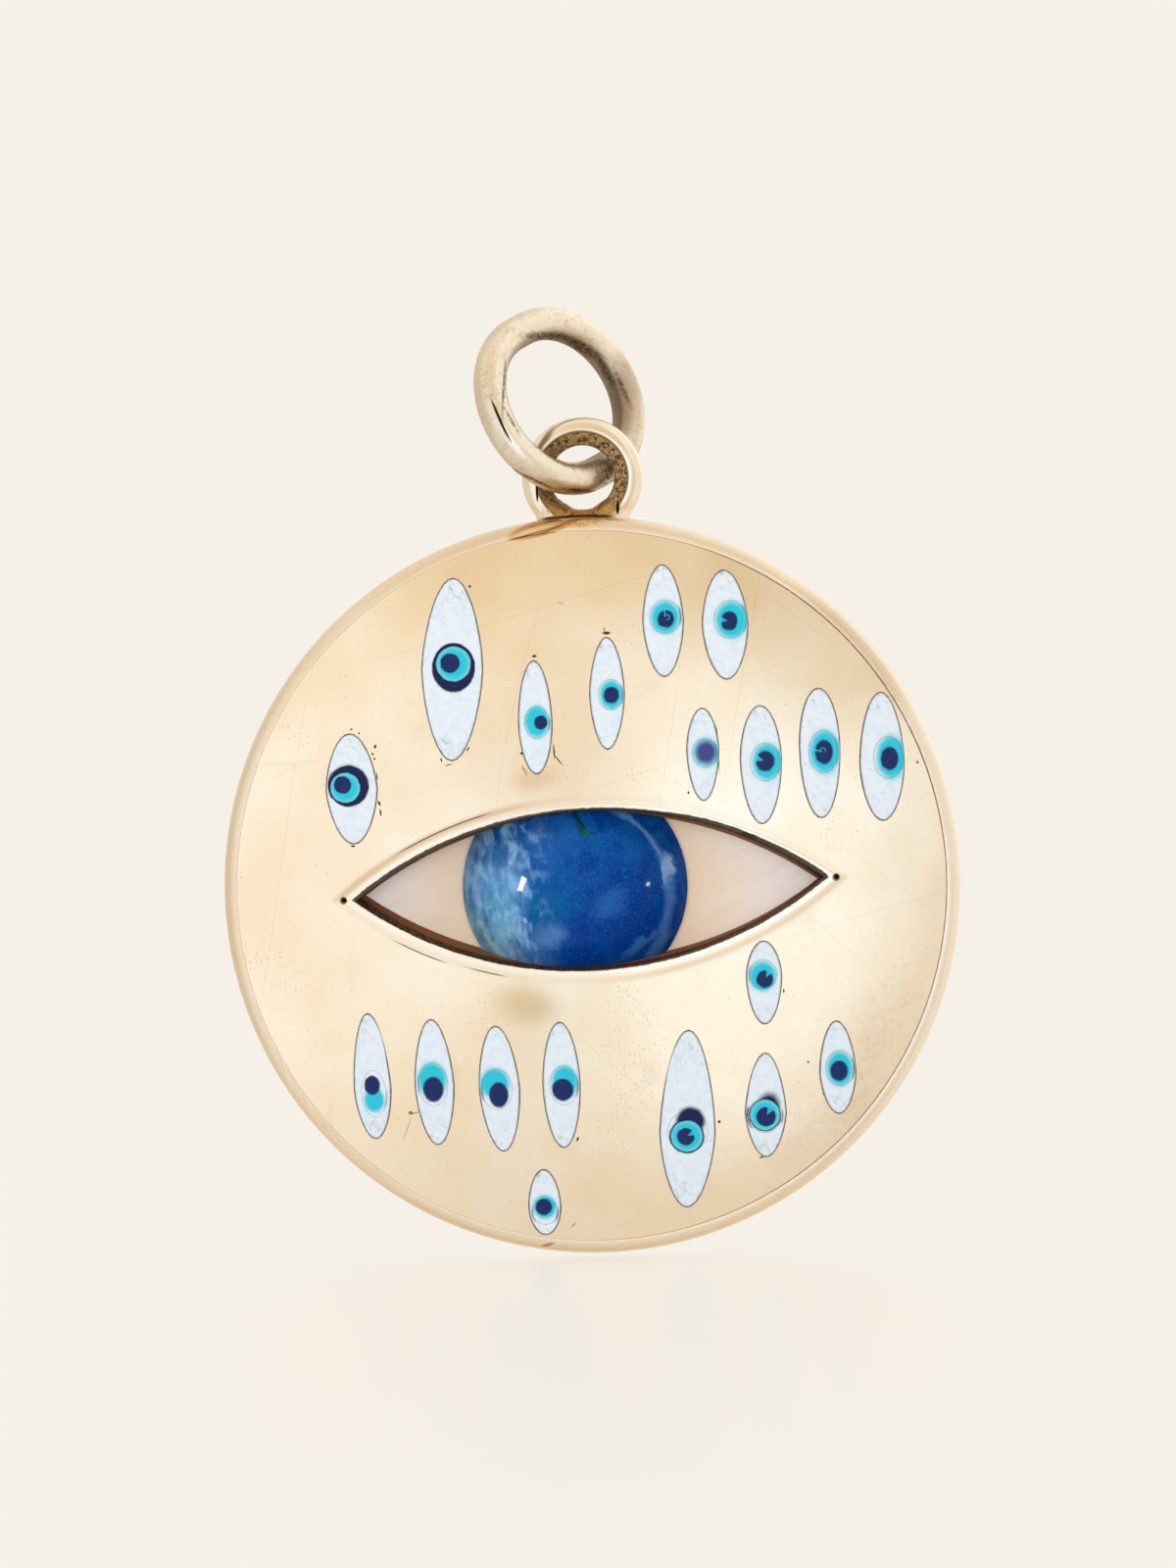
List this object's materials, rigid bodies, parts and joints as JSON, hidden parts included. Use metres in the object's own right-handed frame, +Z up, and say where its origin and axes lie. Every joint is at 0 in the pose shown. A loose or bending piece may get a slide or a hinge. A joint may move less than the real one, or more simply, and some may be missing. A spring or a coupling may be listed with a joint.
{
  "type": "evil eye pendant",
  "caption": "Round domed gold pendant with a blue stone eye set in an almond window, small enamel eyes around it, and a jump ring through its bail.",
  "frame": {"origin": "top of the inside of the jump ring, where a chain passes through", "axes": "+Z up, +X to the right as the front is seen, the front faces -Y"},
  "size_m": [0.03, 0.0073, 0.0386],
  "materials": {
    "polished_gold": "polished yellow gold with fine scratches, brown patina in the bail and around the window",
    "satin_gold": "worn satin gold",
    "pale_shell": "smooth pale shell plate, warmer towards the stone",
    "blue_stone": "polished mottled blue cabochon",
    "white_enamel": "fired white enamel, lightly scratched",
    "turquoise_enamel": "fired turquoise and navy enamel"
  },
  "bodies": {
    "ring": {"jump_ring": "satin_gold"},
    "pendant": {"case": "polished_gold", "eye_white": "pale_shell", "iris_stone": "blue_stone", "enamel_white_01": "white_enamel", "enamel_white_02": "white_enamel", "enamel_white_03": "white_enamel", "enamel_white_04": "white_enamel", "enamel_white_05": "white_enamel", "enamel_white_06": "white_enamel", "enamel_white_07": "white_enamel", "enamel_white_08": "white_enamel", "enamel_white_09": "white_enamel", "enamel_white_10": "white_enamel", "enamel_white_11": "white_enamel", "enamel_white_12": "white_enamel", "enamel_white_13": "white_enamel", "enamel_white_14": "white_enamel", "enamel_white_15": "white_enamel", "enamel_white_16": "white_enamel", "enamel_white_17": "white_enamel", "enamel_white_18": "white_enamel", "enamel_white_19": "white_enamel", "enamel_iris_01": "turquoise_enamel", "enamel_iris_02": "turquoise_enamel", "enamel_iris_03": "turquoise_enamel", "enamel_iris_04": "turquoise_enamel", "enamel_iris_05": "turquoise_enamel", "enamel_iris_06": "turquoise_enamel", "enamel_iris_07": "turquoise_enamel", "enamel_iris_08": "turquoise_enamel", "enamel_iris_09": "turquoise_enamel", "enamel_iris_10": "turquoise_enamel", "enamel_iris_11": "turquoise_enamel", "enamel_iris_12": "turquoise_enamel", "enamel_iris_13": "turquoise_enamel", "enamel_iris_14": "turquoise_enamel", "enamel_iris_15": "turquoise_enamel", "enamel_iris_16": "turquoise_enamel", "enamel_iris_17": "turquoise_enamel", "enamel_iris_18": "turquoise_enamel", "enamel_iris_19": "turquoise_enamel"}
  },
  "joints": [
    {"name": "pendant_swing", "type": "hinge", "parent": "ring", "child": "pendant", "pos_m": [0.00145, -0.00171, -0.00565], "axis": [0, 1, 0], "range_deg": [-30, 30]}
  ]
}
